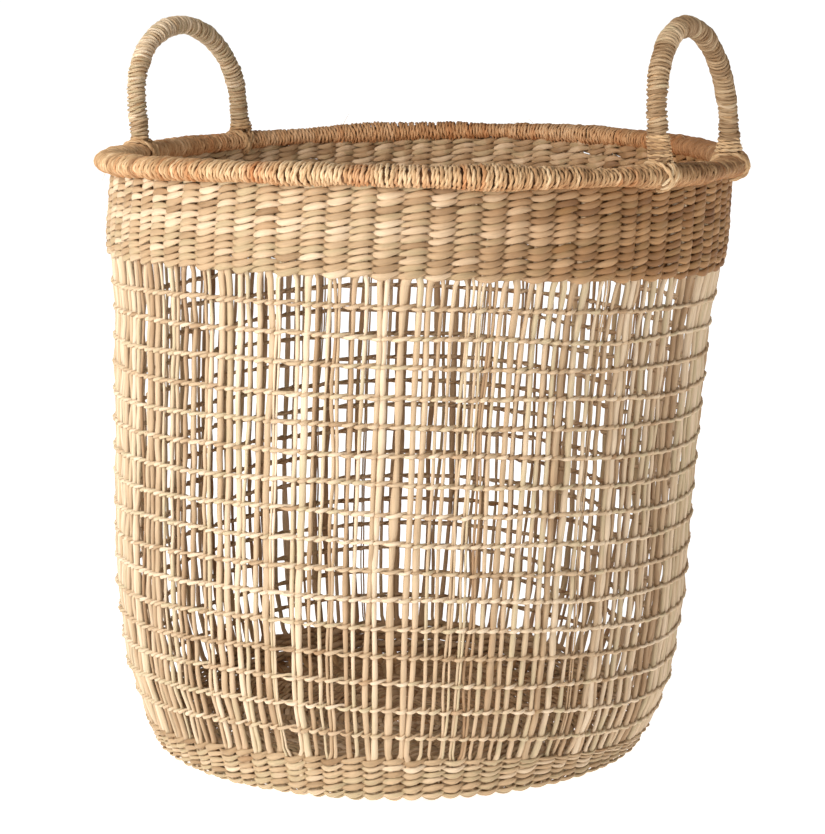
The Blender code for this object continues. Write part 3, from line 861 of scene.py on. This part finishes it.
def make_lashing(name, angle, side):
    """Cord that ties a handle's foot: crossed loops round the rim and turns on the leg."""
    collar_turns, flare, aside, drop_loops = LASHINGS[name]
    weave = Weave(6)
    turn = np.arange(LASH_LOOPS * LASH_STEPS + 1) / LASH_STEPS
    around = TAU * turn - math.pi / 2
    swap = np.where(np.floor(turn) % 2 == 0, 1.0, -1.0)
    reach = np.interp(turn, (0, LASH_LOOPS), LASH_REACH) * swap * (1 - np.cos(TAU * turn)) / 2
    spread = steps_of(rng.normal(size=LASH_LOOPS + 2) * LASH_SPREAD, turn)
    out = CORD * 0.4 + 0.0004 * steps_of(rng.normal(size=LASH_LOOPS + 2), turn)
    out = out + 0.0007 * turn / LASH_LOOPS
    foot_radius = RIM_RADIUS - LEG_INSET
    centre, normals = round_rim(around, angle + (reach + spread) / foot_radius, out)
    tones = np.clip(0.52 + 0.16 * steps_of(rng.normal(size=LASH_LOOPS + 2), turn), 0, 1)
    two_ply(weave, centre, normals, tones, np.full(len(turn), 0.08))
    low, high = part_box(f"handle_wrap_{side}")
    tube = (high.x - low.x) / 2
    turn = np.arange(collar_turns * LASH_STEPS + 1) / LASH_STEPS
    around = TAU * turn
    start = RIM_HEIGHT + RIM_TUBE * RIM_FLATTEN + CORD * FINE
    low_share = (1 - turn / collar_turns) ** 1.5
    leg = polar(foot_radius, angle + aside * low_share / foot_radius, start + COLLAR_PITCH * turn)
    ring = np.stack((np.cos(around), np.sin(around), 0 * around), -1)
    wide = tube + HANDLE_THICKEN - CORD * FINE * 0.5 + flare * low_share
    wide = wide + 0.0002 * steps_of(rng.normal(size=collar_turns + 1), turn)
    tones = 0.60 + 0.14 * steps_of(rng.normal(size=collar_turns + 1), turn)
    tones, warms = np.clip(tones, 0, 1), np.full(len(turn), 0.06)
    two_ply(weave, leg + wide[:, None] * ring, ring, tones, warms, PLY * FINE, PLY_OFFSET * FINE)
    for loop in range(drop_loops):
        t = np.linspace(0, 1, 60)
        sweep, side_step, bow = (a - b * loop for a, b in (DROP_SWEEP, DROP_SIDE, DROP_BOW))
        around = math.radians(DROP_TOP) - math.radians(sweep) * t
        side_step = side_step + bow * np.sin(math.pi * t) - DROP_BACK * t
        centre, normals = round_rim(around, angle + side_step / foot_radius, CORD * 0.8 + 0 * t)
        two_ply(weave, centre, normals, 0.95 + 0 * t, 0 * t, PLY * 0.8, PLY_OFFSET * 0.5)
    weave.build(f"lashing_{name}", cord_straw, "seagrass_cord", f"handle_lashing_{name}")


def make_loose_fibres(count=46):
    """Fine broken ends that stand off the rim and the handles."""
    weave = Weave(4)
    steps = 9
    t = np.linspace(0, 1, steps)
    for _ in range(count):
        angle = rng.uniform(0, TAU)
        around = rng.uniform(-1.2, 2.2)
        start, away = round_rim(around, angle, -0.0008)
        along = polar(1.0, angle + math.pi / 2, 0.0) * rng.choice((-1, 1))
        size = rng.uniform(0.004, 0.011)
        lift = 0.45 * np.sin(t * rng.uniform(1.0, 2.6))[:, None] * away
        path = start + size * (t[:, None] * (along + 0.3 * rng.normal(size=3)) + lift)
        thick = np.full((1, steps), rng.uniform(0.00010, 0.00020)) * (1 - 0.6 * t)
        tone = np.full((1, steps), rng.uniform(0.4, 1.0))
        normals = np.zeros_like(path) + away
        weave.add(path[None], normals[None], thick, thick, tone, tone * 0)
    weave.build("loose_fibres", cord_straw, "seagrass_cord")


# Stage


def make_floor(right, away):
    """A pale floor that grows brighter with distance, into the white backdrop."""
    mesh = bpy.data.meshes.new("floor")
    signs = ((-1, -1), (1, -1), (1, 1), (-1, 1))
    corners = [(right * x + away * y) * FLOOR_SIZE for x, y in signs]
    mesh.from_pydata(corners, [], [(0, 1, 2, 3)])
    floor = bpy.data.objects.new("floor", mesh)
    material = bpy.data.materials.new("floor_white")
    material.use_nodes = True
    nodes, links = material.node_tree.nodes, material.node_tree.links
    shader = nodes["Principled BSDF"]
    shader.inputs["Base Color"].default_value = (0.90, 0.90, 0.90, 1)
    shader.inputs["Roughness"].default_value = 0.9
    shader.inputs["Specular IOR Level"].default_value = 0.1
    shader.inputs["Emission Color"].default_value = (1, 1, 1, 1)
    place = nodes.new("ShaderNodeNewGeometry")
    length = nodes.new("ShaderNodeVectorMath")
    length.operation = "LENGTH"
    links.new(place.outputs["Position"], length.inputs[0])
    glow = nodes.new("ShaderNodeMapRange")
    for label, value in zip(("From Min", "From Max", "To Min", "To Max"), FLOOR_GLOW):
        glow.inputs[label].default_value = value
    links.new(length.outputs["Value"], glow.inputs["Value"])
    links.new(glow.outputs["Result"], shader.inputs["Emission Strength"])
    mesh.materials.append(material)
    bpy.context.scene.collection.objects.link(floor)


def make_world(away):
    """Soft light all round, and a white backdrop on the far side."""
    world = bpy.data.worlds.new("studio")
    world.use_nodes = True
    nodes, links = world.node_tree.nodes, world.node_tree.links
    background = nodes["Background"]
    background.inputs["Color"].default_value = (1.0, 1.0, 1.0, 1)
    direction = nodes.new("ShaderNodeTexCoord")
    facing = nodes.new("ShaderNodeVectorMath")
    facing.operation = "DOT_PRODUCT"
    facing.inputs[1].default_value = away
    links.new(direction.outputs["Generated"], facing.inputs[0])
    strength = nodes.new("ShaderNodeMapRange")
    for label, value in zip(("From Min", "From Max", "To Min", "To Max"), BACKDROP):
        strength.inputs[label].default_value = value
    links.new(facing.outputs["Value"], strength.inputs["Value"])
    links.new(strength.outputs["Result"], background.inputs["Strength"])
    bpy.context.scene.world = world


def make_stage():
    """Floor, backdrop, lights and camera."""
    right = Vector((math.cos(VIEW_TURN), math.sin(VIEW_TURN), 0))
    away = Vector((-math.sin(VIEW_TURN), math.cos(VIEW_TURN), 0))
    bpy.context.scene.view_settings.view_transform = "Standard"
    make_floor(right, away)
    make_world(away)
    for name, place, size, power, colour in LIGHTS:
        light = bpy.data.lights.new(name, "AREA")
        light.size = size
        light.energy = power
        light.color = colour
        lamp = bpy.data.objects.new(name, light)
        lamp.location = right * place[0] + away * place[1] + Vector((0, 0, place[2]))
        aim = Vector((0, 0, 0.24)) - lamp.location
        lamp.rotation_euler = aim.to_track_quat("-Z", "Y").to_euler()
        bpy.context.scene.collection.objects.link(lamp)
    data = bpy.data.cameras.new("camera")
    data.lens = CAMERA_LENS
    data.sensor_fit = "HORIZONTAL"
    data.sensor_width = SENSOR
    data.dof.use_dof = False
    camera = bpy.data.objects.new("camera", data)
    camera.location = right * CAMERA_SHIFT - away * CAMERA_DISTANCE + Vector((0, 0, CAMERA_HEIGHT))
    camera.rotation_euler = (math.pi / 2 - CAMERA_PITCH, 0, VIEW_TURN)
    bpy.context.scene.collection.objects.link(camera)
    bpy.context.scene.camera = camera


course_line = course_heights()
make_base()
make_stakes(course_line)
make_courses(course_line)
make_upper_band()
make_rim()
for handle_label in ("right", "left"):
    make_handle(handle_label)
for foot_name, foot_angle, foot_side in (
    ("right_front", -FOOT_ANGLE, "right"),
    ("right_back", FOOT_ANGLE, "right"),
    ("left_back", math.pi - FOOT_ANGLE, "left"),
    ("left_front", math.pi + FOOT_ANGLE, "left"),
):
    make_lashing(foot_name, foot_angle + HANDLE_TURN[foot_side], foot_side)
make_loose_fibres()
make_stage()
